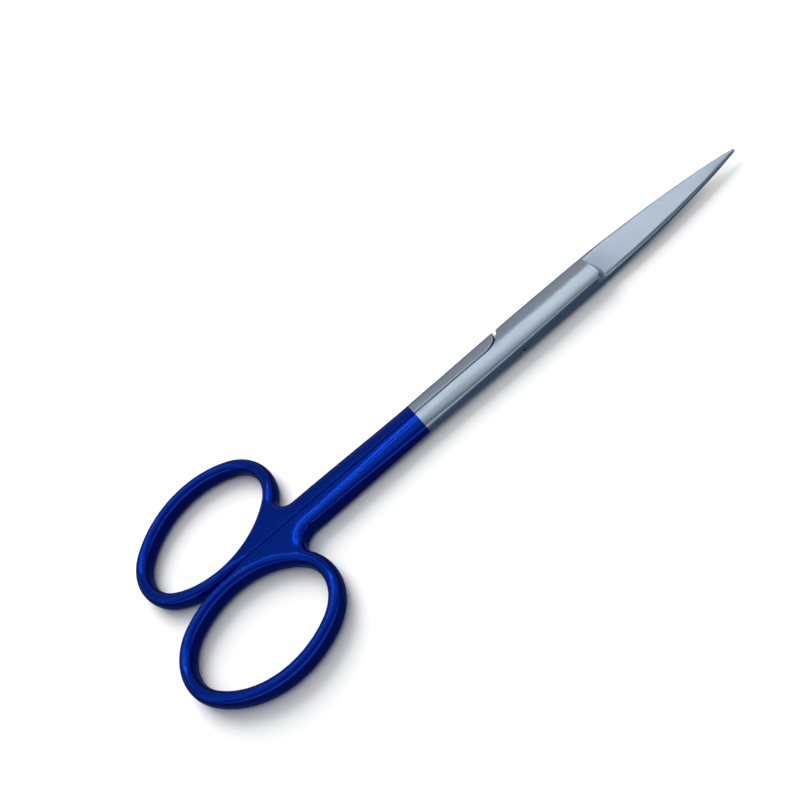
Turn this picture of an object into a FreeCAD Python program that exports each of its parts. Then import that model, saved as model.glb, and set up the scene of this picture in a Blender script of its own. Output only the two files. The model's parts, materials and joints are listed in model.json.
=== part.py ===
import FreeCAD, Part
import os
from math import cos, radians, sin, sqrt, tan

# Iris scissors with ring handles, lying closed on one side.
# X runs from the finger rings to the tips, Z is up, and the two halves meet on the plane y = 0.
# Each half is one forging: finger ring, shank, half of the lap joint, and blade. The halves are the
# same form, one turned half a turn about the long axis. A slotted screw holds them together.
# Everything is drawn from the pivot, at mid thickness, and moved to the row's origin at the end.

# Forging, in mm
thickness = 3.5              # over both faces of the closed pair
seam_gap = 0.10              # between the two handles when closed
lap_gap = 0.04               # between the two faces that slide on each other
edge_radius = 1.1            # rounding along every outer edge

# Finger rings
ring_back = 63.3             # pivot to the middle of a ring
ring_length = 25.0           # along the middle of the tube
ring_width = 19.1            # across the middle of the tube
ring_tube = 2.3              # width of the tube
ring_end_share = 0.82        # radius of the oval's ends, as a share of its half width
ring_tilt = 8.8              # degrees, the front end outwards
ring_contact = 0.12          # how deep the flat is where the rings touch
web_runout = 12.0            # radius on which the groove between the rings runs out into the web
crotch_radius = 2.3          # corner between the ring and the shank

# Shanks and joint, widths over both halves
shank_rear_width = 5.8
shank_front_width = 6.0
shank_front_back = 17.0      # pivot to the widest place of the shank
joint_width = 5.44
joint_front = 8.6            # pivot to the step in front of the joint
step_corner_radius = 1.2     # rounding of the step's corner over the cutting edge

# Shoulders of the lap joint
shoulder_radius = 3.3        # rounded end of a shank
shoulder_gap = 0.4           # added to that radius in the hollow it faces
upper_shoulder_back = 12.5   # pivot to where the rounding leaves the seam, seen from above
lower_shoulder_back = 11.4   # the same, seen from below
hollow_lead = 0.3            # how much nearer to the pivot the hollow starts

# Blades
blade_reach = 38.0           # pivot to the tips
tip_width = 0.40
tip_thickness = 0.45         # of one blade
root_thickness = 1.28        # of one blade, where its straight taper would meet the step
heel_hollow_power = 8        # how fast the hollow behind the heel runs out into the taper
edge_height = 0.32           # top of the cutting bevel over the flat side, at the heel
edge_height_tip = 0.22
bevel_width = 0.25
bevel_share = 0.6            # of the half width, where that is less than the bevel's width
edge_inset = 0.18            # how far the cutting edge stays behind the other blade's back
back_rounding = 0.6          # rounding of the blade's back, as a share of its thickness

# Pivot screw
head_radius = 1.8
head_depth = 0.75
pivot_radius = 1.15
pivot_clearance = 0.03
seat_gap = 0.02              # between the head and the seat it holds down
thread_radius = 0.9
thread_depth = 1.30          # how far the thread reaches into the upper half
head_sink = 0.04             # how far the head stays below the face
slot_width = 0.5
slot_depth = 0.35

half_thickness = thickness / 2
half_gap = seam_gap / 2
outside = 2 * ring_back      # clear of everything, for cutting


def vec(x, y, z=0.0):
    return FreeCAD.Vector(x, y, z)


def line(start, end):
    return Part.LineSegment(start, end).toShape()


def short_arc(centre, start, end):
    """The shorter arc about a centre."""
    half_way = ((start + end) * 0.5 - centre).normalize() * start.distanceToPoint(centre)
    return Part.Arc(start, centre + half_way, end).toShape()


def prism(edges, low, high):
    """Straight block from z = low to z = high over a closed outline."""
    wire = Part.Wire(Part.__sortEdges__(edges))
    wire.translate(vec(0, 0, low))
    return Part.Face(wire).extrude(vec(0, 0, high - low))


# Finger ring, seen from above, for the half whose ring is on the -Y side: an oval of four arcs

tilt = -radians(ring_tilt)
along = vec(cos(tilt), sin(tilt))
across = vec(-sin(tilt), cos(tilt))
half_length = ring_length / 2
half_width = ring_width / 2
end_radius = ring_end_share * half_width
side_radius = ((half_length ** 2 + half_width ** 2 - 2 * half_length * end_radius)
               / (2 * (half_width - end_radius)))
to_end_centre = half_length - end_radius
to_side_centre = side_radius - half_width

# The two rings touch on a small flat where their outlines come nearest to the seam
ring_side = half_gap - ring_contact + side_radius + ring_tube / 2 - to_side_centre * cos(tilt)
ring_centre = vec(-ring_back, -ring_side)
seam_point = ring_centre - across * to_side_centre + vec(0, side_radius + ring_tube / 2)
rear_reach = ring_back + to_end_centre * cos(tilt) + end_radius + ring_tube / 2


def ring_oval(offset):
    """The oval through the middle of the tube, moved outwards by an offset."""
    meeting = vec(to_end_centre, to_side_centre).normalize()

    def corner(end, side):
        return (ring_centre + along * end * (to_end_centre + (end_radius + offset) * meeting.x)
                + across * side * (end_radius + offset) * meeting.y)

    ends = [short_arc(ring_centre + along * end * to_end_centre, corner(end, -1), corner(end, 1))
            for end in (1, -1)]
    sides = [short_arc(ring_centre - across * side * to_side_centre, corner(-1, side), corner(1, side))
             for side in (1, -1)]
    return ends + sides


def tangent_arc(before, start, end):
    """Arc from start to end that goes on in the direction in which a line from before comes in."""
    chord = end - start
    turn = (start - before).getAngle(chord)
    aside = chord.cross((start - before).cross(chord)).normalize()
    return Part.Arc(start, start + chord * 0.5 + aside * (chord.Length / 2 * tan(turn / 2)), end).toShape()


def shank_outline():
    """Shank and joint at the full width of both halves, run out into the ring's outline behind."""
    rear_side = shank_rear_width / 2
    rise = rear_side - seam_point.y
    corner = vec(seam_point.x + sqrt(web_runout ** 2 - (web_runout - rise) ** 2), rear_side)
    runout = short_arc(seam_point + vec(0, web_runout), seam_point, corner)
    widest = vec(-shank_front_back, shank_front_width / 2)
    front = vec(joint_front, joint_width / 2)
    far_side = [line(corner, widest), tangent_arc(corner, widest, front)]
    near_side = [edge.mirror(vec(0, 0), vec(0, 1)) for edge in far_side]
    near_corner = vec(corner.x, -corner.y)
    inside_ring = vec(seam_point.x, -corner.y)
    return far_side + near_side + [
        runout, line(front, vec(front.x, -front.y)), line(near_corner, inside_ring),
        line(inside_ring, seam_point)]


def touches(edge, shape):
    return edge.distToShape(shape)[0] < 0.001


def rounded_body():
    """The forging before the joint is cut, both faces flat and the outer edges rounded."""
    disc = prism(ring_oval(ring_tube / 2), -half_thickness, half_thickness)
    shank = prism(shank_outline(), -half_thickness, half_thickness)
    body = disc.fuse(shank).removeSplitter()
    crotch = [edge for edge in body.Edges
              if edge.BoundBox.ZLength > half_thickness and edge.BoundBox.YMax < -shank_rear_width / 4
              and touches(edge, disc) and touches(edge, shank)]
    body = body.makeFillet(crotch_radius, crotch)
    body = body.cut(prism(ring_oval(-ring_tube / 2), -outside, outside))
    outer = [edge for edge in body.Edges
             if edge.BoundBox.ZLength < half_thickness and edge.BoundBox.XMin < joint_front - edge_radius]
    return body.makeFillet(edge_radius, outer)


def shoulder_outline(start, radius, side, reach):
    """Outline behind the seam plane up to a quarter round that leaves the seam towards one side."""
    end = start + vec(radius, side * radius)
    stop = vec(end.x, side * outside)
    far = vec(reach, stop.y)
    turn = vec(reach, -outside)
    rear = vec(-outside, -outside)
    corners = [end, stop, far, turn, rear, vec(-outside, start.y), start]
    sides = [line(a, b) for a, b in zip(corners, corners[1:]) if a.distanceToPoint(b) > 0.001]
    return [short_arc(start + vec(0, side * radius), start, end)] + sides


def joint_layers(hollow_back, end_back):
    """The room that one half has: all of its own side behind, only the upper layer in front."""
    hollow_start = vec(hollow_lead - hollow_back, -half_gap)
    upper = prism(shoulder_outline(hollow_start, shoulder_radius + shoulder_gap, 1, outside),
                  lap_gap / 2, thickness)
    end_start = vec(-end_back, -half_gap)
    lower = prism(shoulder_outline(end_start, shoulder_radius, -1, -end_back + shoulder_radius),
                  -thickness, lap_gap / 2)
    return upper.fuse(lower)


def step_corner():
    """What is taken off the step's corner, seen from above, on the side of the cutting edge."""
    shank = prism(shank_outline(), -half_thickness, half_thickness)
    front = Part.Vertex(vec(joint_front, -joint_width / 2))
    upright = [edge for edge in shank.Edges
               if edge.BoundBox.ZLength > half_thickness and touches(edge, front)]
    return shank.cut(shank.makeFillet(step_corner_radius, upright))


def blade_section(share):
    """Section of the upper blade, share running from 0 at the heel to 1 at the tip."""
    x = joint_front + (blade_reach - joint_front) * share
    half_width = joint_width / 2 - (joint_width - tip_width) / 2 * share ** 2
    back = (tip_thickness + (root_thickness - tip_thickness) * (1 - share)
            + (half_thickness - root_thickness) * (1 - share) ** heel_hollow_power)
    rounding = min(back_rounding * back, edge_radius)
    edge_y = edge_inset * (1 - share) - half_width
    edge_top = edge_height + (edge_height_tip - edge_height) * share
    bevel = min(bevel_width, half_width * bevel_share)
    flat = lap_gap / 2
    points = [vec(x, edge_y, flat), vec(x, half_width, flat), vec(x, half_width, back - rounding),
              vec(x, half_width - rounding, back), vec(x, edge_y + bevel, edge_top)]
    edges = [line(points[0], points[1]), line(points[1], points[2]),
             short_arc(vec(x, half_width - rounding, back - rounding), points[2], points[3]),
             line(points[3], points[4]), line(points[4], points[0])]
    return Part.Wire(edges)


def blade():
    """The blade, with a root that carries its first section back under the step's corner."""
    stations = [0.0, 0.08, 0.18, 0.32, 0.5, 0.7, 0.88, 1.0]
    tapered = Part.makeLoft([blade_section(share) for share in stations], True, False)
    root = Part.Face(blade_section(0.0)).extrude(vec(-2 * step_corner_radius, 0))
    return root.fuse(tapered)


def plain_half(hollow_back, end_back):
    """One half before the screw holes: ring at -Y, blade on top with its cutting edge at -Y."""
    body = rounded_body().common(joint_layers(hollow_back, end_back))
    return body.cut(step_corner()).fuse(blade()).removeSplitter()


def upper_half():
    thread = Part.makeCylinder(thread_radius, thread_depth, vec(0, 0))
    return plain_half(upper_shoulder_back, lower_shoulder_back).cut(thread)


def lower_half():
    half = plain_half(lower_shoulder_back, upper_shoulder_back)
    half.rotate(vec(0, 0), vec(1, 0), 180)
    bore = Part.makeCylinder(pivot_radius + pivot_clearance, thickness, vec(0, 0, -thickness))
    seat = Part.makeCylinder(head_radius + pivot_clearance, thickness,
                             vec(0, 0, head_depth + head_sink - half_thickness - thickness))
    return half.cut(bore).cut(seat)


def pivot_screw():
    low = head_sink - half_thickness
    head = Part.makeCylinder(head_radius, head_depth - seat_gap, vec(0, 0, low))
    plain = Part.makeCylinder(pivot_radius, -low - head_depth + seat_gap,
                              vec(0, 0, low + head_depth - seat_gap))
    thread = Part.makeCylinder(thread_radius, thread_depth, vec(0, 0))
    slot = Part.makeBox(4 * head_radius, slot_width, slot_depth,
                        vec(-2 * head_radius, -slot_width / 2, low))
    return head.fuse(plain).fuse(thread).cut(slot).removeSplitter()


def main():
    nodes = {"upper_half": upper_half(), "lower_half": lower_half(), "pivot_screw": pivot_screw()}
    to_origin = vec((rear_reach - blade_reach) / 2, 0, half_thickness)
    os.makedirs("parts", exist_ok=True)
    for name, shape in nodes.items():
        shape.translate(to_origin)
        box = shape.optimalBoundingBox(False)
        print(name, shape.isValid(), len(shape.Solids), round(shape.Volume, 2),
              [round(v, 3) for v in (box.XMin, box.XMax, box.YMin, box.YMax, box.ZMin, box.ZMax)])
        shape.exportStep("parts/" + name + ".step")
    print("pivot x", to_origin.x)


main()
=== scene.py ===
import bpy
import json
import math
import numpy as np
from mathutils import Euler, Matrix, Vector
from mathutils.geometry import delaunay_2d_cdt
from mathutils.kdtree import KDTree


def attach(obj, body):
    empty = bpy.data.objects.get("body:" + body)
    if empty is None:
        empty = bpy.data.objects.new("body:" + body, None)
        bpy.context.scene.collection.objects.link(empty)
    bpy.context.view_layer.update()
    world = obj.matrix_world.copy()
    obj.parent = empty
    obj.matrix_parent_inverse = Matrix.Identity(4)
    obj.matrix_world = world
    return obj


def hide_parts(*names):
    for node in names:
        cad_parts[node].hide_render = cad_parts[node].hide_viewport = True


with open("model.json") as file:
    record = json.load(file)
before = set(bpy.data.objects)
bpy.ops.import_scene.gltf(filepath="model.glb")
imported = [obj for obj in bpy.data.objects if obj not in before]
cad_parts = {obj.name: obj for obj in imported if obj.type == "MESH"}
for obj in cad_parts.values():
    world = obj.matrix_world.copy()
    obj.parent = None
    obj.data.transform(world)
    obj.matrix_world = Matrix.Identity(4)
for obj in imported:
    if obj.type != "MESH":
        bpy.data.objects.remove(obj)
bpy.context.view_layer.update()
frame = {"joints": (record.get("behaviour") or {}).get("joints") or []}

mm = 0.001
pivotSpot = Vector(frame["joints"][0]["pos_m"])     # the joint's screw, at mid thickness


# Camera: at the photo's place, above the rings and to the near side

camera = {"place": (-14.06, -95.05, 110.80), "turn": (36.22, 24.46, -33.37), "lens": 42.77, "sensor": 36.0,
          "nearest": 0.01}


def placeCamera():
    optics = bpy.data.cameras.new("camera")
    optics.lens = camera["lens"]
    optics.sensor_width = camera["sensor"]
    optics.clip_start = camera["nearest"]
    eye = bpy.data.objects.new("camera", optics)
    bpy.context.scene.collection.objects.link(eye)
    turn = Euler([math.radians(a) for a in camera["turn"]])
    eye.matrix_world = Matrix.LocRotScale(Vector(camera["place"]) * mm, turn, None)
    bpy.context.scene.camera = eye
    bpy.context.scene.view_settings.view_transform = "Standard"
    print("camera at", camera["place"], "mm")


placeCamera()


# Shader helpers

def newMaterial(name):
    material = bpy.data.materials.new(name)
    material.use_nodes = True
    material.node_tree.nodes.clear()
    return material, material.node_tree.nodes, material.node_tree.links


def addNode(nodes, kind, x, y, **settings):
    node = nodes.new(kind)
    node.location = (x, y)
    for key, value in settings.items():
        setattr(node, key, value)
    return node


def newGroup(name, inputs, outputs):
    group = bpy.data.node_groups.new(name, "ShaderNodeTree")
    for label, kind, value in inputs:
        socket = group.interface.new_socket(label, in_out="INPUT", socket_type=kind)
        socket.default_value = value
    for label, kind in outputs:
        group.interface.new_socket(label, in_out="OUTPUT", socket_type=kind)
    start = addNode(group.nodes, "NodeGroupInput", -900, 0)
    end = addNode(group.nodes, "NodeGroupOutput", 900, 0)
    return group, group.nodes, group.links, start, end


def addSurface(nodes, links, values):
    surface = addNode(nodes, "ShaderNodeBsdfPrincipled", 0, 200)
    for label, value in values.items():
        surface.inputs[label].default_value = value
    out = addNode(nodes, "ShaderNodeOutputMaterial", 300, 200)
    links.new(surface.outputs["BSDF"], out.inputs["Surface"])
    return surface


# Grain: fine scratches along one direction, and soft uneven patches
def grainGroup():
    group, nodes, links, start, end = newGroup(
        "grain", [("Stretch", "NodeSocketVector", (1, 1, 1)), ("Lines", "NodeSocketFloat", 1000.0),
                  ("Patches", "NodeSocketFloat", 100.0)],
        [("Lines", "NodeSocketFloat"), ("Patches", "NodeSocketFloat")])
    coordinates = addNode(nodes, "ShaderNodeTexCoord", -900, 300)
    stretch = addNode(nodes, "ShaderNodeVectorMath", -700, 200, operation="MULTIPLY")
    links.new(coordinates.outputs["Object"], stretch.inputs[0])
    links.new(start.outputs["Stretch"], stretch.inputs[1])
    fine = addNode(nodes, "ShaderNodeTexNoise", -450, 200)
    fine.inputs["Detail"].default_value = 3.0
    fine.inputs["Roughness"].default_value = 0.65
    links.new(stretch.outputs[0], fine.inputs["Vector"])
    links.new(start.outputs["Lines"], fine.inputs["Scale"])
    soft = addNode(nodes, "ShaderNodeTexNoise", -450, -100)
    soft.inputs["Detail"].default_value = 1.0
    links.new(coordinates.outputs["Object"], soft.inputs["Vector"])
    links.new(start.outputs["Patches"], soft.inputs["Scale"])
    links.new(fine.outputs["Fac"], end.inputs["Lines"])
    links.new(soft.outputs["Fac"], end.inputs["Patches"])
    return group


grain = grainGroup()

# the finishes; spread is how much the roughness varies over the surface
steel = {"colour": (0.55, 0.635, 0.72, 1), "roughness": 0.34, "spread": 0.10, "bump": 0.0008 * mm,
         "stretch": (0.03, 1, 1), "lines": 9000.0, "patches": 120.0,    # brushed along the pair
         "recessShadeColour": (0.12, 0.135, 0.155, 1)}    # painted shade: darkens the upright walls of the seam, the shoulder gaps and the screw's hole
coat = {"colour": (0.0006, 0.040, 0.46, 1), "roughness": 0.19, "spread": 0.02,
        "lacquer": 0.09, "lacquerRoughness": 0.10,
        "border": -7.05 * mm,     # where the blue coat ends, along the pair
        # its soft edge, and a painted highlight: the thin light line along that edge
        "edge": 0.05 * mm, "line": 0.12 * mm, "edgeHighlightColour": (0.10, 0.20, 0.50, 1)}
turned = {"colour": (0.55, 0.58, 0.61, 1), "roughness": 0.28, "spread": 0.14,
          "rings": 14000.0, "bump": 0.004 * mm}
noiseSpan = (0.3, 0.7)    # what a noise texture mostly fills


def roughnessFrom(nodes, links, noise, finish, x, y):
    node = addNode(nodes, "ShaderNodeMapRange", x, y)
    spread = finish["spread"] / 2
    node.inputs["From Min"].default_value, node.inputs["From Max"].default_value = noiseSpan
    node.inputs["To Min"].default_value = finish["roughness"] - spread
    node.inputs["To Max"].default_value = finish["roughness"] + spread
    links.new(noise, node.inputs["Value"])
    return node.outputs["Result"]


def mixFloat(nodes, links, share, a, b, x, y):
    node = addNode(nodes, "ShaderNodeMix", x, y, data_type="FLOAT")
    links.new(share, node.inputs["Factor"])
    for socket, value in (("A", a), ("B", b)):
        if isinstance(value, float):
            node.inputs[socket].default_value = value
        else:
            links.new(value, node.inputs[socket])
    return node.outputs["Result"]


def mixColour(nodes, links, share, a, b, x, y):
    node = addNode(nodes, "ShaderNodeMix", x, y, data_type="RGBA")
    links.new(share, node.inputs["Factor"])
    for socket, value in ((6, a), (7, b)):
        if isinstance(value, tuple):
            node.inputs[socket].default_value = value
        else:
            links.new(value, node.inputs[socket])
    return node.outputs[2]


# Border of the coat: where it lies, and the thin light line of its edge, which is a painted highlight
def borderGroup():
    group, nodes, links, start, end = newGroup(
        "border", [("Place", "NodeSocketFloat", coat["border"]), ("Edge", "NodeSocketFloat", coat["edge"]),
                   ("Line", "NodeSocketFloat", coat["line"])],
        [("Coat", "NodeSocketFloat"), ("Line", "NodeSocketFloat")])
    coordinates = addNode(nodes, "ShaderNodeTexCoord", -900, 300)
    split = addNode(nodes, "ShaderNodeSeparateXYZ", -700, 300)
    links.new(coordinates.outputs["Object"], split.inputs[0])
    behind = addNode(nodes, "ShaderNodeMath", -500, 200, operation="SUBTRACT")
    links.new(start.outputs["Place"], behind.inputs[0])
    links.new(split.outputs["X"], behind.inputs[1])
    share = addNode(nodes, "ShaderNodeMath", -300, 200, operation="DIVIDE", use_clamp=True)
    links.new(behind.outputs[0], share.inputs[0])
    links.new(start.outputs["Edge"], share.inputs[1])
    far = addNode(nodes, "ShaderNodeMath", -300, -50, operation="DIVIDE", use_clamp=True)
    links.new(behind.outputs[0], far.inputs[0])
    links.new(start.outputs["Line"], far.inputs[1])
    line = addNode(nodes, "ShaderNodeMath", -50, 0, operation="SUBTRACT", use_clamp=True)
    links.new(share.outputs[0], line.inputs[0])
    links.new(far.outputs[0], line.inputs[1])
    links.new(share.outputs[0], end.inputs["Coat"])
    links.new(line.outputs[0], end.inputs["Line"])
    return group


border = borderGroup()


def halfMaterial():
    material, nodes, links = newMaterial("half_steel")
    edge = addNode(nodes, "ShaderNodeGroup", -1200, 300, node_tree=border)
    texture = addNode(nodes, "ShaderNodeGroup", -1200, 0, node_tree=grain)
    for label in ("Stretch", "Lines", "Patches"):
        texture.inputs[label].default_value = steel[label.lower()]
    isCoat, line = edge.outputs["Coat"], edge.outputs["Line"]
    lines, patches = texture.outputs["Lines"], texture.outputs["Patches"]
    metal = roughnessFrom(nodes, links, lines, steel, -900, 0)
    blue = roughnessFrom(nodes, links, patches, coat, -900, -300)
    # painted shade: an attribute marks the upright walls, whose steel is darkened towards a near-black colour
    recessShade = addNode(nodes, "ShaderNodeAttribute", -900, 600, attribute_name="recessShade")
    bareWithShade = mixColour(nodes, links, recessShade.outputs["Fac"], steel["colour"], steel["recessShadeColour"], -750, 500)
    colour = mixColour(nodes, links, isCoat, bareWithShade, coat["colour"], -600, 400)
    # painted highlight: a thin light line of colour along the coat's edge
    colour = mixColour(nodes, links, line, colour, coat["edgeHighlightColour"], -300, 400)
    bump = addNode(nodes, "ShaderNodeBump", -300, -400)
    bump.inputs["Distance"].default_value = steel["bump"]
    links.new(mixFloat(nodes, links, isCoat, lines, 0.5, -600, -500), bump.inputs["Height"])
    surface = addSurface(nodes, links, {"Metallic": 1.0, "Coat Roughness": coat["lacquerRoughness"]})
    links.new(colour, surface.inputs["Base Color"])
    links.new(mixFloat(nodes, links, isCoat, metal, blue, -600, 0), surface.inputs["Roughness"])
    links.new(mixFloat(nodes, links, isCoat, 0.0, coat["lacquer"], -600, -350), surface.inputs["Coat Weight"])
    links.new(bump.outputs["Normal"], surface.inputs["Normal"])
    return material


# Screw: fine rings left by the lathe, about the joint's axis
def screwMaterial():
    material, nodes, links = newMaterial("screw_steel")
    coordinates = addNode(nodes, "ShaderNodeTexCoord", -1400, 200)
    shifted = addNode(nodes, "ShaderNodeVectorMath", -1200, 200, operation="SUBTRACT")
    shifted.inputs[1].default_value = pivotSpot
    links.new(coordinates.outputs["Object"], shifted.inputs[0])
    flat = addNode(nodes, "ShaderNodeVectorMath", -1000, 200, operation="MULTIPLY")
    flat.inputs[1].default_value = (1, 1, 0)
    links.new(shifted.outputs[0], flat.inputs[0])
    radius = addNode(nodes, "ShaderNodeVectorMath", -800, 200, operation="LENGTH")
    links.new(flat.outputs[0], radius.inputs[0])
    rings = addNode(nodes, "ShaderNodeTexNoise", -600, 200, noise_dimensions="1D")
    rings.inputs["Scale"].default_value = turned["rings"]
    links.new(radius.outputs["Value"], rings.inputs["W"])
    rough = roughnessFrom(nodes, links, rings.outputs["Fac"], turned, -400, 0)
    bump = addNode(nodes, "ShaderNodeBump", -200, -200)
    bump.inputs["Distance"].default_value = turned["bump"]
    links.new(rings.outputs["Fac"], bump.inputs["Height"])
    surface = addSurface(nodes, links, {"Metallic": 1.0, "Base Color": turned["colour"]})
    links.new(rough, surface.inputs["Roughness"])
    links.new(bump.outputs["Normal"], surface.inputs["Normal"])
    return material


halfSteel, screwSteel = halfMaterial(), screwMaterial()
print("materials for the halves and the screw")


# The two halves: one form, drawn in mm from the pivot at mid thickness, with the ring towards -Y and the
# blade on top. Each is a top sheet, an underside and the flat lap face between them, joined by upright walls.

half = {
    "thickness": 3.5, "seamGap": 0.10, "lapGap": 0.04,
    "ringBack": 63.3, "ringLength": 25.0, "ringWidth": 19.1, "tube": 2.3, "endShare": 0.82,
    "ringTilt": 8.8, "ringContact": 0.12,
    "webRunout": 12.0, "webEnd": -0.8,      # the arc from the web to the rings, and the angle where it ends
    "crotchRadius": 2.3, "crotchAt": -50.0,     # where the shank's side is measured for it
    "rearWidth": 5.8, "frontWidth": 6.0, "frontBack": 17.0, "jointWidth": 5.44, "jointFront": 8.6,
    "cornerRadius": 1.2, "shoulderRadius": 3.3, "shoulderGap": 0.4, "hollowLead": 0.3,
    "bladeReach": 38.0, "tipWidth": 0.40, "tipThickness": 0.45, "rootThickness": 1.28, "hollowPower": 8,
    "edgeHeight": 0.32, "edgeHeightTip": 0.22, "bevel": 0.25, "bevelShare": 0.6, "edgeInset": 0.18,
    "spineRound": 0.6, "spineMost": 1.1, "spinePower": 3.0,
    "spineShare": 0.45, "faceSlope": 0.30,    # at most, near the tip
    "faceBlend": 0.06, "stepBlend": 0.03,     # how softly the face meets the spine, and both the joint
    "seamBreak": 0.20,      # softened edges along the seam
    "rim": 0.16,            # softened edge over the step in front of the joint
    "scoop": 1.1, "scoopRise": 1.35,          # hollow between that step and the blade, at the cutting edge
    "scoopEnd": 1.5,        # where across the blade it has run out
    "scoopAcross": 0.8, "scoopAlong": 1.5,    # powers of its fall across the blade and along it
    "ringPower": 2.1,       # how full the section of a ring is: 2 is an ellipse
    # the same for the shank, by its distance from the pivot: nearly flat at the rings, crowned, then fuller
    "crownAt": (-58, -46, -39, -33, -27, -16, 0, 8.6),
    "crownPower": (4.6, 4.4, 3.4, 2.7, 2.4, 4.2, 6.0, 7.0),
    "roofAt": (-27, -20), "roof": 0.19, "roofRidge": 0.8,    # faces of the steel part slope to both sides
    "wall": 0.005,          # an upright wall inside a sheet leans by this much
}

# what differs between them: from the pivot back to the hollow and to the rounded end, and the screw's hole,
# with the height where it ends or where its seat begins
upperHalf = {"turnedOver": False, "hollowBack": 12.5, "endBack": 11.4,
             "holeRadius": 0.9, "holeEnd": 1.30, "seatRadius": None}
lowerHalf = {"turnedOver": True, "hollowBack": 11.4, "endBack": 12.5,
             "holeRadius": 1.18, "holeEnd": 0.96, "seatRadius": 1.83}

# points along each outline, and rows of points beside them by their distances
counts = {"ring": 170, "fingerHole": 141, "crotch": 20, "corner": 8, "shoulder": 20, "screwHole": 49,
          "web": 18, "stepCorner": 14, "step": 22}
pitches = {"side": 0.5, "root": 0.12, "shoulders": 0.3, "sheet": 0.42, "level": 3.0}
rows = {
    "first": 0.004, "rounds": 9,
    "seam": (0.008, 0.03, 0.06, 0.1, 0.15, 0.2, 0.3),
    "web": (0.1, 0.22, 0.38, 0.58, 0.82, 1.1),
    "bevel": (0.4, 0.62),
    "step": (-0.3, -0.16, -0.11, -0.07, -0.035, -0.012, -0.005, 0.005, 0.03, 0.07, 0.13, 0.2, 0.3, 0.42,
             0.58, 0.75, 0.95),
    "stepClear": 0.02,      # how near the step's rows come to an outline
    "outlineClear": 0.8, "looseClear": 0.62,    # shares of a row's distance and of the pitch that stay free
    "longest": 1.2,         # between two points of a row that are joined
}
samePoint = 1e-5            # points nearer than this are one

halfThick = half["thickness"] / 2
parting = half["lapGap"] / 2
seamY = -half["seamGap"] / 2
tube = half["tube"] / 2
tilt = -math.radians(half["ringTilt"])
# rows along a rounded edge, closest where the surface turns most
rounds = rows["rounds"]
rowSteps = [rows["first"]] + [tube * (1 - math.cos(math.pi / 2 * k / rounds)) for k in range(1, rounds + 1)]


def direction(angle):
    return np.stack([np.cos(angle), np.sin(angle)], -1)


def length(p):
    return np.hypot(p[..., 0], p[..., 1])


# Ring: an oval of four arcs, each found by the way it faces
halfLength, halfWidth = half["ringLength"] / 2, half["ringWidth"] / 2
endRadius = half["endShare"] * halfWidth
sideRadius = (halfLength ** 2 + halfWidth ** 2 - 2 * halfLength * endRadius) / (2 * (halfWidth - endRadius))
toEnd, toSide = halfLength - endRadius, sideRadius - halfWidth
along, across = direction(tilt), direction(tilt + math.pi / 2)
ringSide = sideRadius + tube - toSide * math.cos(tilt) - half["ringContact"] - seamY
ringCentre = np.array([-half["ringBack"], -ringSide])
seamPoint = ringCentre - across * toSide + np.array([0, sideRadius + tube])
runoutCentre = seamPoint + np.array([0, half["webRunout"]])


def ovalCentre(angle):
    turn = np.mod(angle - tilt + math.pi, 2 * math.pi) - math.pi
    meet = math.atan2(toSide, toEnd)
    front, rear = np.abs(turn) < meet, np.abs(turn) > math.pi - meet
    end = np.where(front, 1.0, np.where(rear, -1.0, 0.0))[..., None]
    side = np.where(front | rear, 0.0, np.sign(turn))[..., None]
    centre = ringCentre + along * end * toEnd - across * side * toSide
    return centre, np.where(front | rear, endRadius, sideRadius)


def ovalPoints(angle, offset):
    centre, radius = ovalCentre(angle)
    return centre + direction(angle) * (radius + offset)[..., None]


def ovalFacing(p):
    u, v = (p - ringCentre) @ along, (p - ringCentre) @ across
    atEnd = np.abs(u) * toSide > (np.abs(v) + toSide) * toEnd
    u = np.where(atEnd, u - np.sign(u) * toEnd, u)
    v = np.where(atEnd, v, v + np.sign(v) * toSide)
    return np.arctan2(v, u) + tilt


def ovalDistance(p, offset):
    centre, radius = ovalCentre(ovalFacing(p))
    return length(p - centre) - radius - offset


# Shank, joint and blade: half of the closed pair's width
rearSide, widest, jointSide = half["rearWidth"] / 2, half["frontWidth"] / 2, half["jointWidth"] / 2
webDrop = half["webRunout"] - rearSide + seamPoint[1]
runoutX = seamPoint[0] + math.sqrt(half["webRunout"] ** 2 - webDrop ** 2)
slope = (widest - rearSide) / (-half["frontBack"] - runoutX)
run = half["jointFront"] + half["frontBack"]
bend = (widest + slope * run - jointSide) / run ** 2


def bladeShare(x):
    return np.clip((x - half["jointFront"]) / (half["bladeReach"] - half["jointFront"]), 0, 1)


def sideY(x):
    t = x + half["frontBack"]
    shank = widest + slope * t - bend * np.maximum(t, 0) ** 2
    blade = jointSide - (jointSide - half["tipWidth"] / 2) * bladeShare(x) ** 2
    return np.where(x < half["jointFront"], shank, blade)


def nearSide(x):
    return -sideY(x)


def seamLine(x):
    return 0 * x + seamY


def edgeY(x):
    bladeSide = np.where(x < half["jointFront"], jointSide, sideY(x))
    return half["edgeInset"] * (1 - bladeShare(x)) - bladeSide


def bevelWidth(x):
    return np.minimum(half["bevel"], sideY(np.maximum(x, half["jointFront"])) * half["bevelShare"])


def backHeight(x):
    rest = 1 - bladeShare(x)
    return (half["tipThickness"] + (half["rootThickness"] - half["tipThickness"]) * rest
            + (halfThick - half["rootThickness"]) * rest ** half["hollowPower"])


def spineRound(x):
    return np.minimum(half["spineRound"] * backHeight(x), half["spineMost"])


# Crotch: an arc that touches the ring's front end and the side of the shank
frontEnd = ringCentre + along * toEnd
crotch = half["crotchRadius"]
reach = endRadius + tube + crotch
crotchY = -float(sideY(half["crotchAt"])) - crotch
crotchCentre = np.array([frontEnd[0] + math.sqrt(reach ** 2 - (crotchY - frontEnd[1]) ** 2), crotchY])
crotchFacing = math.atan2(*(crotchCentre - frontEnd)[::-1])

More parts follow.
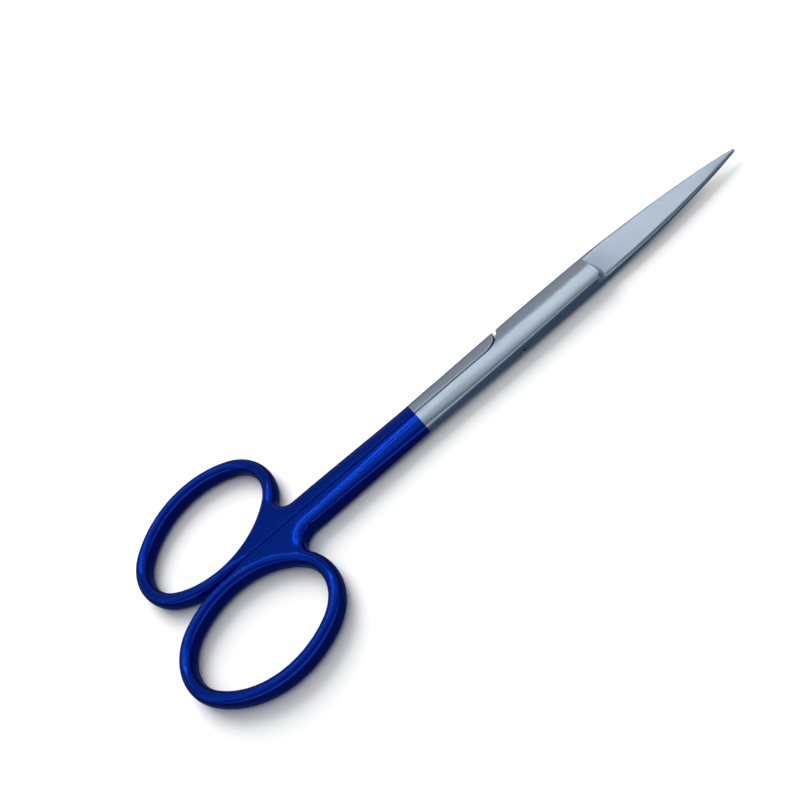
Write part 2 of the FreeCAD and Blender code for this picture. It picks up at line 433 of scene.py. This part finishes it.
# Corner of the step, over the cutting edge
corner = half["cornerRadius"]
cornerX = half["jointFront"] - corner
cornerCentre = np.array([cornerX, corner - float(sideY(cornerX))])


def smooth(t):
    t = np.clip(t, 0, 1)
    return t * t * (3 - 2 * t)


def quarter(distance, width, power):
    # height, from 0 to 1, of a rounding that starts at an outline and is level at its width
    return (1 - (1 - np.clip(distance / width, 0, 1)) ** power) ** (1 / power)


def softLeast(a, b, soft):
    return (a + b - np.sqrt((a - b) ** 2 + soft ** 2)) / 2


def rimDrop(distance, radius):
    inner = radius - np.clip(distance, 0, radius)
    return radius - np.sqrt(radius ** 2 - inner ** 2)


def crownHeight(p):
    x, y = p[..., 0], p[..., 1]
    facing = ovalFacing(p)
    onBar = x > crotchCentre[0]
    inWeb = ~onBar & (facing > crotchFacing) & (facing < math.pi / 2)
    fromCrotch = p - crotchCentre
    turn = np.mod(np.arctan2(fromCrotch[..., 1], fromCrotch[..., 0]), 2 * math.pi)
    share = smooth((crotchFacing + math.pi - turn) / (crotchFacing + math.pi / 2))
    share = np.where(onBar, 1.0, np.where(inWeb, share, 0.0))
    near = np.where(onBar, sideY(x) + y, np.where(inWeb, length(fromCrotch) - crotch, -ovalDistance(p, tube)))
    power = np.interp(x, half["crownAt"], half["crownPower"])
    power = half["ringPower"] + (power - half["ringPower"]) * share
    width = tube + (sideY(x) - tube) * share
    height = quarter(near, width, power)
    height = height * quarter(ovalDistance(p, -tube), tube, half["ringPower"])
    height = height * quarter(sideY(x) - y, sideY(x), power)
    ridge = np.hypot(y, half["roofRidge"]) - half["roofRidge"]
    roof = half["roof"] * np.interp(x, half["roofAt"], (0, 1)) * ridge
    height = height * (1 - roof / halfThick)
    groove = (x > seamPoint[0]) & (share > 0)
    return height * np.where(groove, quarter(length(p - runoutCentre) - half["webRunout"], tube, 2.0), 1.0)


def stepDistance(p):
    # from the step in front of the joint, growing towards the tips
    x, y = p[..., 0], p[..., 1]
    onCorner = (y < cornerCentre[1]) & (x > cornerX)
    return np.where(onCorner, length(p - cornerCentre) - corner, x - half["jointFront"])


def onBevel(p):
    return p[..., 1] < edgeY(p[..., 0]) + bevelWidth(p[..., 0])


def bevelTop(x):
    return half["edgeHeight"] + (half["edgeHeightTip"] - half["edgeHeight"]) * bladeShare(x)


def bevelHeight(p):
    x, y = p[..., 0], p[..., 1]
    return parting + (bevelTop(x) - parting) * (y - edgeY(x)) / bevelWidth(x)


def faceHeight(p):
    x, y = p[..., 0], p[..., 1]
    top = bevelTop(x)
    foot = edgeY(x) + bevelWidth(x)
    rounding = np.minimum(spineRound(x), half["spineShare"] * sideY(x))
    back = np.minimum(backHeight(x), top + half["faceSlope"] * (sideY(x) - rounding - foot))
    ramp = top + (back - top) * (y - foot) / (sideY(x) - rounding - foot)
    cap = parting + (back - parting) * quarter(sideY(x) - y, rounding, half["spinePower"])
    return softLeast(ramp, cap, half["faceBlend"])


def scoopRise(p):
    share = np.clip((half["scoopEnd"] - p[..., 1]) / (half["scoopEnd"] + jointSide), 0, 1)
    scoop = np.maximum(half["scoop"] * share ** half["scoopAcross"], 1e-4)
    fall = np.clip(1 - stepDistance(p) / scoop, 0, 1) ** half["scoopAlong"]
    return scoop * half["scoopRise"] * fall


def topHeights(p, seamDistance):
    # of the shank, ring and joint, and of the blade, each taken beyond the step too
    crown = halfThick * crownHeight(p)
    body = crown - rimDrop(seamDistance(p), half["seamBreak"])
    blade = np.where(onBevel(p), bevelHeight(p), faceHeight(p)) + scoopRise(p)
    return body, softLeast(blade, crown, half["stepBlend"])


def stepped(body, blade, distance):
    rim = np.clip((body - blade) / 2, 1e-4, half["rim"])
    share = np.clip((distance + half["wall"]) / (2 * half["wall"]), 0, 1)
    return (body - rimDrop(-distance, rim)) * (1 - share) + blade * share


# Outlines are chains: points, and for each the way into the material

def snap(points):
    # rounded, so that the same point of two outlines is found again
    return np.float32(points).astype(float)


def arcChain(centre, radius, start, stop, inward, count):
    facing = direction(np.linspace(start, stop, count))
    return centre + facing * radius, facing * inward


def ovalChain(start, stop, offset, inward, count):
    angle = np.linspace(start, stop, count)
    return ovalPoints(angle, offset), direction(angle) * inward


def sideChain(line, start, stop, inward, pitch=pitches["side"]):
    x = np.linspace(start, stop, max(2, round(abs(stop - start) / pitch) + 1))
    return np.stack([x, line(x)], -1), np.tile([0.0, inward], (len(x), 1))


def joinChains(*chains):
    points, inward = snap(np.vstack([c[0] for c in chains])), np.vstack([c[1] for c in chains])
    apart = np.r_[True, length(np.diff(points, axis=0)) > samePoint]
    return points[apart], inward[apart]


def backwards(chain):
    return chain[0][::-1], chain[1][::-1]


def openLoop(*chains):
    points, inward = joinChains(*chains)
    return (points[:-1], inward[:-1]) if length(points[0] - points[-1]) < samePoint else (points, inward)


def closeChain(chain):
    return np.vstack([chain[0], chain[0][:1]]), np.vstack([chain[1], chain[1][:1]])


def evenly(chain, value):
    return np.full(len(chain[0]), value)


def rowsAlong(chain, steps, scale=1.0):
    scale = np.broadcast_to(scale, len(chain[0]))
    return [(chain[0] + chain[1] * (step * scale)[:, None], step * scale) for step in steps]


def insideOf(p, loops):
    result = np.zeros(len(p), bool)
    for loop in loops:
        for a, b in zip(loop, np.roll(loop, -1, 0)):
            crosses = (a[1] > p[:, 1]) != (b[1] > p[:, 1])
            if crosses.any():
                result ^= crosses & (p[:, 0] < (b[0] - a[0]) * (p[:, 1] - a[1]) / (b[1] - a[1]) + a[0])
    return result


def outlineDistance(p, loops):
    nearest = np.full(len(p), np.inf)
    for loop in loops:
        for a, b in zip(loop, np.roll(loop, -1, 0)):
            step = b - a
            share = np.clip(((p - a) @ step) / max(step @ step, 1e-12), 0, 1)
            nearest = np.minimum(nearest, length(p - a - share[:, None] * step))
    return nearest


def planMesh(loops, lines, pitch):
    # triangles over the plan inside the loops, with rows of points that follow its outlines
    joined, count = [], 0
    for loop in loops:
        joined += [(count + k, count + (k + 1) % len(loop)) for k in range(len(loop))]
        count += len(loop)
    taken = list(loops)
    if lines:
        every, least = np.vstack([r[0] for r in lines]), np.concatenate([r[1] for r in lines])
        keep = insideOf(every, loops) & (outlineDistance(every, loops) > rows["outlineClear"] * least)
        number = count - 1 + np.cumsum(keep)
        near = length(np.diff(every, axis=0)) < rows["longest"]
        near[np.cumsum([len(r[0]) for r in lines])[:-1] - 1] = False    # the end of a row and the next start
        joined += [(int(number[k]), int(number[k + 1])) for k in np.flatnonzero(keep[:-1] & keep[1:] & near)]
        taken.append(every[keep])
    taken = np.vstack(taken)
    tree = KDTree(len(taken))
    for k, p in enumerate(taken):
        tree.insert((p[0], p[1], 0), k)
    tree.balance()
    # loose points, staggered, wherever the rows leave room
    low, high = taken.min(0), taken.max(0)
    lift = pitch * math.sqrt(3) / 2
    loose = np.array([(low[0] + pitch * (i + j % 2 / 2), low[1] + lift * j)
                      for j in range(int((high[1] - low[1]) / lift) + 1)
                      for i in range(int((high[0] - low[0]) / pitch) + 1)])
    loose = loose[insideOf(loose, loops)]
    clear = rows["looseClear"] * pitch
    loose = np.array([p for p in loose if tree.find((p[0], p[1], 0))[2] > clear]).reshape(-1, 2)
    found = delaunay_2d_cdt([Vector(p) for p in np.vstack([taken, loose])], joined, [], 0, samePoint)
    plan, faces = np.array([tuple(v) for v in found[0]]), np.array([tuple(f) for f in found[2]])
    faces = faces[insideOf(plan[faces].mean(1), loops)]
    a, b, c = plan[faces[:, 0]], plan[faces[:, 1]], plan[faces[:, 2]]
    area = (b[:, 0] - a[:, 0]) * (c[:, 1] - a[:, 1]) - (b[:, 1] - a[:, 1]) * (c[:, 0] - a[:, 0])
    faces = np.where((area < 0)[:, None], faces[:, ::-1], faces)
    return plan, faces[np.abs(area) > 1e-9]    # without slivers that have no area


def slopeOf(height, p):
    step = 0.0012
    right, up = np.array([step, 0]), np.array([0, step])
    return np.stack([height(p + right) - height(p - right), height(p + up) - height(p - up)], -1) / (2 * step)


def unit(v):
    return v / np.maximum(np.linalg.norm(v, axis=-1, keepdims=True), 1e-12)


steepest = 9          # a steeper slope is an upright wall
wallSlope = 1000


def sheetNormals(slopes):
    steep = length(slopes) > steepest
    return unit(np.concatenate([-slopes, np.where(steep, 0.0, 1.0)[..., None]], -1))


def choose(mask, a, b):
    return np.where(mask[..., None], a, b)


def lookup(chains):
    # the way out of the material at each point of some outlines
    return {tuple(p): n for chain in chains for p, n in zip(snap(chain[0]), -chain[1])}


def levels(p, flat, height, up):
    # heights at plan points, above or below mid thickness; the outlines in flat lie on the lap face
    return np.where([tuple(q) in flat for q in p], parting, up * height(p))


def buildHalf(own):
    hollowX, endX = half["hollowLead"] - own["hollowBack"], -own["endBack"]
    hollowRound, endRound = half["shoulderRadius"] + half["shoulderGap"], half["shoulderRadius"]
    hollowCentre, endCentre = np.array([hollowX, seamY + hollowRound]), np.array([endX, seamY - endRound])

    def meeting(centre, radius, side):
        # the angle at which a shoulder's arc meets the side
        angle = 0.0
        for _ in range(20):
            reached = side * float(sideY(centre[0] + radius * math.cos(angle)))
            angle = math.asin((reached - centre[1]) / radius)
        return angle

    def topSeam(p):
        return np.where(p[..., 0] < hollowX, seamY - p[..., 1], length(p - hollowCentre) - hollowRound)

    def underSeam(p):
        return np.where(p[..., 0] < endX, seamY - p[..., 1], endRound - length(p - endCentre))

    def topHeight(p):
        body, blade = topHeights(p, topSeam)
        return np.maximum(stepped(body, blade, stepDistance(p)), parting)

    def underHeight(p):
        return halfThick * crownHeight(p) - rimDrop(underSeam(p), half["seamBreak"])

    # the outline, as chains in the order of a walk round the half, from where the rings touch
    hollowAngle, endAngle = meeting(hollowCentre, hollowRound, 1), meeting(endCentre, endRound, -1)
    hollowSide = hollowCentre[0] + hollowRound * math.cos(hollowAngle)
    endSide = endCentre[0] + endRound * math.cos(endAngle)
    sideArc = sideRadius + tube
    touching = math.acos((sideArc - seamPoint[1] + seamY) / sideArc)
    cornerStop = math.asin((float(edgeY(half["jointFront"])) - cornerCentre[1]) / corner)
    rootX = cornerCentre[0] + corner * math.cos(cornerStop)
    split = min(hollowX, endX)
    ring = ovalChain(math.pi / 2 + touching, 2 * math.pi + crotchFacing, tube, -1, counts["ring"])
    inCrotch = arcChain(crotchCentre, crotch, crotchFacing + math.pi, math.pi / 2, 1, counts["crotch"])
    shank = sideChain(nearSide, crotchCentre[0], endSide, 1)
    nearJoint = sideChain(nearSide, endSide, cornerX, 1)
    rounded = arcChain(cornerCentre, corner, -math.pi / 2, cornerStop, -1, counts["corner"])
    root = sideChain(edgeY, rootX, half["jointFront"], 1, pitches["root"])
    edge = sideChain(edgeY, half["jointFront"], half["bladeReach"], 1)
    spine = sideChain(sideY, half["bladeReach"], half["jointFront"], -1)
    farJoint = sideChain(sideY, half["jointFront"], hollowSide, -1)
    hollow = arcChain(hollowCentre, hollowRound, hollowAngle, -math.pi / 2, 1, counts["shoulder"])
    between = sideChain(seamLine, max(hollowX, endX), split, -1, pitches["shoulders"])
    seam = sideChain(seamLine, split, ring[0][0][0], -1)
    roundEnd = arcChain(endCentre, endRound, endAngle, math.pi / 2, -1, counts["shoulder"])
    fingerHole = openLoop(ovalChain(0, 2 * math.pi, -tube, 1, counts["fingerHole"]))

    def roundHole(radius):
        return openLoop(arcChain(np.zeros(2), radius, 0, 2 * math.pi, 1, counts["screwHole"]))

    screwHole = roundHole(own["holeRadius"])
    seats = [roundHole(own["seatRadius"])] if own["seatRadius"] else []
    overTop = [between] if hollowX > endX else []
    overUnder = [between] if endX > hollowX else []
    outer = [ring, inCrotch, shank]
    bladeLines = [nearJoint, rounded, root, edge, spine, farJoint]
    topLoop = openLoop(*outer, *bladeLines, hollow, *overTop, seam)[0]
    underLoop = openLoop(*outer, roundEnd, *overUnder, seam)[0]
    toEndX = between if hollowX > endX else backwards(between)
    lapLoop = openLoop(*bladeLines, hollow, toEndX, backwards(roundEnd))[0]
    flatTop = lookup(outer + bladeLines + [fingerHole])
    flatUnder = lookup(outer + [fingerHole])
    topOut = lookup(outer + [nearJoint, rounded, spine, farJoint, hollow, *overTop, seam, fingerHole])
    underOut = lookup(outer + [roundEnd, *overUnder, seam, fingerHole])

    # rows of points
    count = counts["step"]
    across = np.linspace(cornerCentre[1], sideY(half["jointFront"]), count)
    stepBase = joinChains(arcChain(cornerCentre, corner, -math.pi / 2, 0, 1, counts["stepCorner"]),
                          (np.stack([np.full(count, half["jointFront"]), across], -1),
                           np.tile([1.0, 0.0], (count, 1))))
    bevelRow = joinChains(root, edge)
    groove = arcChain(runoutCentre, half["webRunout"], -math.pi / 2, half["webEnd"], 1, counts["web"])
    shared = rowsAlong(joinChains(*outer), rowSteps) + rowsAlong(fingerHole, rowSteps[:-1])
    shared += rowsAlong(groove, rows["web"])
    topRows = shared + rowsAlong(nearJoint, rowSteps) + rowsAlong(farJoint, rowSteps)
    topRows += rowsAlong(spine, rowSteps, spineRound(spine[0][:, 0]) / tube)
    topRows += rowsAlong(joinChains(hollow, *overTop, seam), rows["seam"])
    topRows += rowsAlong(bevelRow, [1.0], bevelWidth(bevelRow[0][:, 0])) + rowsAlong(bevelRow, rows["bevel"])
    topRows += [(stepBase[0] + stepBase[1] * step, evenly(stepBase, min(abs(step), rows["stepClear"])))
                for step in rows["step"]]
    underRows = shared + rowsAlong(joinChains(roundEnd, *overUnder, seam), rows["seam"])

    pieces = []    # of each sheet and wall: points, triangles, normals at their corners, and how much painted shade it takes

    def add(points, triangles, cornerNormals, recessShade=0.0):
        first = sum(len(piece[0]) for piece in pieces)
        pieces.append((points, triangles + first, cornerNormals, np.full(len(triangles), recessShade)))

    def addSheet(loops, lines, flat, height, slopes, outNormals, up):
        plan, triangles = planMesh(loops, lines, pitches["sheet"])
        corners = sheetNormals(slopes(plan[triangles], plan[triangles].mean(1)[:, None])) * [1, 1, up]
        onOutline = [k for k, p in enumerate(plan) if tuple(p) in outNormals]
        for f, k in zip(*np.nonzero(np.isin(triangles, onOutline))):
            corners[f, k] = (*outNormals[tuple(plan[triangles[f, k]])], 0)
        add(np.column_stack([plan, levels(plan, flat, height, up)]), triangles, corners)

    def addLevel(loops, z, up):
        plan, triangles = planMesh(loops, [], pitches["level"])
        points = np.column_stack([plan, np.full(len(plan), z)])
        add(points, triangles, np.tile([0, 0, up], (len(triangles), 3, 1)))

    def addWall(chain, high, low):
        points, count = snap(chain[0]), len(chain[0])
        k = np.arange(count - 1)
        triangles = np.vstack([np.column_stack([k, k + 1, k + 1 + count]),
                               np.column_stack([k, k + 1 + count, k + count])])
        points = np.vstack([np.column_stack([points, high]), np.column_stack([points, low])])
        outward = np.column_stack([-chain[1], np.zeros(count)])
        # every wall takes the full painted shade
        add(points, triangles, np.vstack([outward, outward])[triangles], 1.0)

    def bodyHeight(p):
        return stepped(*topHeights(p, topSeam), np.minimum(stepDistance(p), -half["wall"]))

    def bladeHeight(p):
        return softLeast(faceHeight(p) + scoopRise(p), halfThick * crownHeight(p), half["stepBlend"])

    def cutHeight(p):
        return bevelHeight(p) + scoopRise(p)

    def topSlopes(p, middle):
        # each triangle takes the slope of the surface that it belongs to, so creases stay sharp
        body, blade, cut = (slopeOf(height, p) for height in (bodyHeight, bladeHeight, cutHeight))
        wall = -wallSlope * slopeOf(stepDistance, p)
        distance, within = stepDistance(middle), half["wall"] * 0.99    # just inside the leaning wall
        onBlade = choose(onBevel(middle), cut, blade)
        return choose(distance < -within, body, choose(distance < within, wall, onBlade))

    def underSlopes(p, middle):
        return slopeOf(underHeight, p)

    def topLine(chain):
        return levels(snap(chain[0]), flatTop, topHeight, 1)

    def underLine(chain):
        return levels(snap(chain[0]), flatUnder, underHeight, -1)

    topLoops = [topLoop, fingerHole[0]] + [seat[0] for seat in seats]
    addSheet(topLoops, topRows, flatTop, topHeight, topSlopes, topOut, 1)
    addSheet([underLoop, fingerHole[0]], underRows, flatUnder, underHeight, underSlopes, underOut, -1)
    addLevel([lapLoop, screwHole[0]], parting, -1)
    for chain in [seam, hollow, *overTop]:
        addWall(chain, topLine(chain), evenly(chain, parting))
    for chain in [seam, roundEnd, *overUnder]:
        addWall(chain, evenly(chain, parting), underLine(chain))
    bore = closeChain(screwHole)
    addWall(bore, evenly(bore, own["holeEnd"]), evenly(bore, parting))
    for seat in seats:
        rim = closeChain(seat)
        addWall(rim, topLine(rim), evenly(rim, own["holeEnd"]))
    addLevel([seat[0] for seat in seats] + [screwHole[0]], own["holeEnd"], 1 if seats else -1)
    return [np.concatenate(found) for found in zip(*pieces)]


def faceOutwards(points, triangles, normals):
    # turns each triangle that faces another way than its neighbour, then all if their volume is negative
    corners, beside = triangles.tolist(), {}
    for f, own in enumerate(corners):
        for k in range(3):
            beside.setdefault(frozenset((own[k], own[k - 1])), []).append(f)
    turn, waiting = {0: False}, [0]
    while waiting:
        f = waiting.pop()
        for k in range(3):
            ahead, behind = corners[f][k], corners[f][k - 1]
            for g in beside[frozenset((ahead, behind))]:
                if g not in turn:
                    sameWay = corners[g][corners[g].index(ahead) - 1] == behind
                    turn[g] = turn[f] != sameWay
                    waiting.append(g)
    flipped = np.array([turn[f] for f in range(len(corners))])
    triangles, normals = triangles.copy(), normals.copy()
    triangles[flipped], normals[flipped] = triangles[flipped][:, ::-1], normals[flipped][:, ::-1]
    a, b, c = (points[triangles[:, k]] for k in range(3))
    if np.einsum("ij,ij", a, np.cross(b, c)) < 0:
        triangles, normals = triangles[:, ::-1], normals[:, ::-1]
    return triangles, normals


def placeHalf(node, body, own):
    points, triangles, normals, recessShade = buildHalf(own)
    if own["turnedOver"]:
        points, normals = points * [1, -1, -1], normals * [1, -1, -1]
    points, where = np.unique(np.round(points, 5), axis=0, return_inverse=True)    # shared points become one
    triangles = where.reshape(-1)[triangles]
    whole = (triangles != np.roll(triangles, 1, axis=1)).all(axis=1)
    triangles, normals = faceOutwards(points, triangles[whole], normals[whole])
    name = "dressed_" + node
    mesh = bpy.data.meshes.new(name)
    mesh.from_pydata((points * mm + np.array(pivotSpot)).tolist(), [], triangles.tolist())
    mesh.polygons.foreach_set("use_smooth", [True] * len(triangles))
    mesh.normals_split_custom_set(normals.reshape(-1, 3).tolist())
    # the painted shade of the walls, kept per corner for the material
    mesh.attributes.new("recessShade", "FLOAT", "CORNER").data.foreach_set("value", np.repeat(recessShade[whole], 3))
    mesh.materials.append(halfSteel)
    piece = bpy.data.objects.new(name, mesh)
    bpy.context.scene.collection.objects.link(piece)
    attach(piece, body)
    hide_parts(node)
    print(name, len(points), "points", len(triangles), "triangles")


placeHalf("upper_half", "upper", upperHalf)
placeHalf("lower_half", "lower", lowerHalf)


# Pivot screw: a lathe-turned blank grown upwards ring by ring from its slotted head, which faces the table

screw = {
    "Head Radius": 1.80, "Head Depth": 0.73, "Head Chamfer": 0.12, "Shank Radius": 1.15, "Shank Depth": 0.98,
    "Thread Radius": 0.9, "Thread Depth": 1.30, "Slot Width": 0.5, "Slot Depth": 0.35,
}
headSink = 0.04       # how far the head stays below the underside
screwCorners = 64     # round the screw


def screwTree():
    tree = bpy.data.node_groups.new("pivot_screw", "GeometryNodeTree")
    tree.interface.new_socket("Geometry", in_out="OUTPUT", socket_type="NodeSocketGeometry")
    sockets = {}
    for name in screw:
        sockets[name] = tree.interface.new_socket(name, in_out="INPUT", socket_type="NodeSocketFloat")
    nodes, links = tree.nodes, tree.links
    start, end = addNode(nodes, "NodeGroupInput", -1600, 0), addNode(nodes, "NodeGroupOutput", 2600, 0)
    sizes = start.outputs

    def value(operation, a, b, x, y):
        node = addNode(nodes, "ShaderNodeMath", x, y, operation=operation)
        for socket, given in zip(node.inputs, (a, b)):
            if isinstance(given, float):
                socket.default_value = given
            else:
                links.new(given, socket)
        return node.outputs[0]

    def upwards(height, x, y):
        node = addNode(nodes, "ShaderNodeCombineXYZ", x, y)
        links.new(height, node.inputs["Z"])
        return node.outputs[0]

    inner = value("SUBTRACT", sizes["Head Radius"], sizes["Head Chamfer"], -1400, 300)
    blank = addNode(nodes, "GeometryNodeMeshCone", -1200, 300, fill_type="NGON")
    blank.inputs["Vertices"].default_value = screwCorners
    links.new(inner, blank.inputs["Radius Bottom"])
    links.new(sizes["Head Radius"], blank.inputs["Radius Top"])
    links.new(sizes["Head Chamfer"], blank.inputs["Depth"])
    geometry, top = blank.outputs["Mesh"], blank.outputs["Top"]
    steps = [
        (value("SUBTRACT", sizes["Head Depth"], sizes["Head Chamfer"], -1400, -300), None),
        (None, value("DIVIDE", sizes["Shank Radius"], sizes["Head Radius"], -1200, -300)),
        (sizes["Shank Depth"], None),
        (None, value("DIVIDE", sizes["Thread Radius"], sizes["Shank Radius"], -1200, -500)),
        (sizes["Thread Depth"], None),
    ]
    x = -1000
    for rise, scale in steps:
        grow = addNode(nodes, "GeometryNodeExtrudeMesh", x, 200, mode="FACES")
        grow.inputs["Individual"].default_value = False
        links.new(geometry, grow.inputs["Mesh"])
        links.new(top, grow.inputs["Selection"])
        if rise:
            links.new(upwards(rise, x, -100), grow.inputs["Offset"])
            grow.inputs["Offset Scale"].default_value = 1.0
        else:
            grow.inputs["Offset Scale"].default_value = 0.0
        geometry, top = grow.outputs["Mesh"], grow.outputs["Top"]
        if scale:
            widen = addNode(nodes, "GeometryNodeScaleElements", x + 200, 200, domain="FACE")
            links.new(geometry, widen.inputs["Geometry"])
            links.new(top, widen.inputs["Selection"])
            links.new(scale, widen.inputs["Scale"])
            geometry = widen.outputs["Geometry"]
        x += 400
    slot = addNode(nodes, "GeometryNodeMeshCube", x, -200)
    block = addNode(nodes, "ShaderNodeCombineXYZ", x - 200, -200)
    links.new(value("MULTIPLY", sizes["Head Radius"], 3.0, x - 400, -200), block.inputs["X"])
    links.new(sizes["Slot Width"], block.inputs["Y"])
    links.new(value("MULTIPLY", sizes["Slot Depth"], 2.0, x - 400, -400), block.inputs["Z"])
    links.new(block.outputs[0], slot.inputs["Size"])
    cut = addNode(nodes, "GeometryNodeMeshBoolean", x + 200, 0, operation="DIFFERENCE", solver="EXACT")
    links.new(geometry, cut.inputs["Mesh 1"])
    links.new(slot.outputs["Mesh"], cut.inputs["Mesh 2"])
    realize = addNode(nodes, "GeometryNodeRealizeInstances", x + 400, 0)
    links.new(cut.outputs["Mesh"], realize.inputs[0])
    dress = addNode(nodes, "GeometryNodeSetMaterial", x + 600, 0)
    dress.inputs["Material"].default_value = screwSteel
    links.new(realize.outputs[0], dress.inputs["Geometry"])
    links.new(dress.outputs["Geometry"], end.inputs["Geometry"])
    return tree, sockets


def buildScrew():
    tree, sockets = screwTree()
    holder = bpy.data.objects.new("screw_blank", bpy.data.meshes.new("screw_blank"))
    bpy.context.scene.collection.objects.link(holder)
    modifier = holder.modifiers.new("screw", "NODES")
    modifier.node_group = tree
    for name, size in screw.items():
        modifier[sockets[name].identifier] = size
    evaluated = holder.evaluated_get(bpy.context.evaluated_depsgraph_get())
    mesh = bpy.data.meshes.new_from_object(evaluated)
    bpy.data.objects.remove(holder)
    low = Vector((pivotSpot.x, pivotSpot.y, headSink * mm))
    mesh.transform(Matrix.Translation(low) @ Matrix.Scale(mm, 4))
    mesh.name = "dressed_pivot_screw"
    mesh.polygons.foreach_set("use_smooth", [abs(p.normal.z) < 0.5 for p in mesh.polygons])
    piece = bpy.data.objects.new("dressed_pivot_screw", mesh)
    bpy.context.scene.collection.objects.link(piece)
    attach(piece, "upper")
    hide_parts("pivot_screw")
    print("dressed_pivot_screw", len(mesh.vertices), "points", [round(v * 1000, 3) for v in piece.dimensions])


buildScrew()


# Floor: pale and plain, hidden from reflections

ground = {"reach": 3.0, "height": -0.01 * mm, "colour": (0.93, 0.905, 0.88, 1), "roughness": 0.9}


def buildFloor():
    mesh = bpy.data.meshes.new("floor")
    corners = [(x * ground["reach"], y * ground["reach"], ground["height"])
               for x, y in ((-1, -1), (1, -1), (1, 1), (-1, 1))]
    mesh.from_pydata(corners, [], [(0, 1, 2, 3)])
    floor = bpy.data.objects.new("floor", mesh)
    bpy.context.scene.collection.objects.link(floor)
    material, nodes, links = newMaterial("floor_white")
    addSurface(nodes, links, {"Base Color": ground["colour"], "Roughness": ground["roughness"],
                              "Specular IOR Level": 0.0})
    mesh.materials.append(material)
    floor.visible_glossy = False
    print("floor", 2 * ground["reach"], "m wide")


buildFloor()


# Light: a studio like a trough along the object, brightest overhead, dim beyond and dark on the near side,
# two thin lamp tubes along it for the fine highlights, and a soft key from beyond and a fill for the floor

sky = {
    "strength": 1.0, "lowest": -30,
    # colour by how high it is, in degrees round from the far horizon over the top to the near one
    "stops": [(-30, (0.05, 0.075, 0.12)), (-4, (0.06, 0.075, 0.11)), (4, (0.34, 0.33, 0.37)),
              (26, (0.34, 0.335, 0.37)), (40, (0.27, 0.275, 0.305)), (50, (0.255, 0.265, 0.29)),
              (60, (0.35, 0.38, 0.415)), (74, (0.48, 0.525, 0.57)), (96, (0.47, 0.515, 0.56)),
              (112, (0.36, 0.40, 0.44)), (126, (0.16, 0.19, 0.23)), (142, (0.045, 0.062, 0.09)),
              (180, (0.05, 0.075, 0.12))],
}

lamps = {
    "key": {"place": (-0.06, 0.62, 0.42), "size": (0.60, 0.60), "power": 8.0},
    "fill": {"place": (0, 0.1, 0.9), "size": (1.4, 1.4), "power": 3.8},
}
lampTubes = {
    "away": 0.5, "length": 0.66, "middle": 0.14,
    "places": ((58.5, 0.020, 0.20), (71.0, 0.014, 0.12)),    # degrees above the floor, width, power
}


def buildSky():
    world = bpy.data.worlds.new("studio")
    bpy.context.scene.world = world
    world.use_nodes = True
    nodes, links = world.node_tree.nodes, world.node_tree.links
    background = nodes["Background"]
    background.inputs["Strength"].default_value = sky["strength"]
    coordinates = addNode(nodes, "ShaderNodeTexCoord", -1100, 0)
    split = addNode(nodes, "ShaderNodeSeparateXYZ", -900, 0)
    links.new(coordinates.outputs["Generated"], split.inputs[0])
    height = addNode(nodes, "ShaderNodeMath", -700, 0, operation="ARCTAN2")
    links.new(split.outputs["Z"], height.inputs[0])
    links.new(split.outputs["Y"], height.inputs[1])
    around = addNode(nodes, "ShaderNodeMapRange", -550, 0)
    around.inputs["From Min"].default_value = math.radians(sky["lowest"])
    around.inputs["From Max"].default_value = math.pi
    links.new(height.outputs[0], around.inputs["Value"])
    ramp = addNode(nodes, "ShaderNodeValToRGB", -350, 0)
    stops = ramp.color_ramp.elements
    for k, (at, colour) in enumerate(sky["stops"]):
        share = (at - sky["lowest"]) / (180 - sky["lowest"])
        stop = stops[0] if k == 0 else stops.new(share)
        stop.position, stop.color = share, (*colour, 1)
    stops.remove(stops[-1])    # the ramp's own last stop
    links.new(around.outputs["Result"], ramp.inputs["Fac"])
    links.new(ramp.outputs["Color"], background.inputs["Color"])
    print("sky of", len(sky["stops"]), "colours")


def areaLight(name, place, target, size, power):
    data = bpy.data.lights.new(name, "AREA")
    data.shape = "RECTANGLE"
    data.size, data.size_y = size
    data.energy = power
    light = bpy.data.objects.new(name, data)
    bpy.context.scene.collection.objects.link(light)
    light.location = place
    light.rotation_euler = (Vector(target) - Vector(place)).to_track_quat("-Z", "Y").to_euler()
    print("lamp", name, power, "W")
    return light


buildSky()
for name, lamp in lamps.items():
    areaLight(name, lamp["place"], (0, 0, 0), lamp["size"], lamp["power"]).visible_glossy = False
for rise, width, power in lampTubes["places"]:
    angle = math.radians(rise)
    spot = (lampTubes["middle"], lampTubes["away"] * math.cos(angle), lampTubes["away"] * math.sin(angle))
    tubeLight = areaLight("tube", spot, (lampTubes["middle"], 0, 0), (lampTubes["length"], width), power)
    tubeLight.visible_diffuse = False
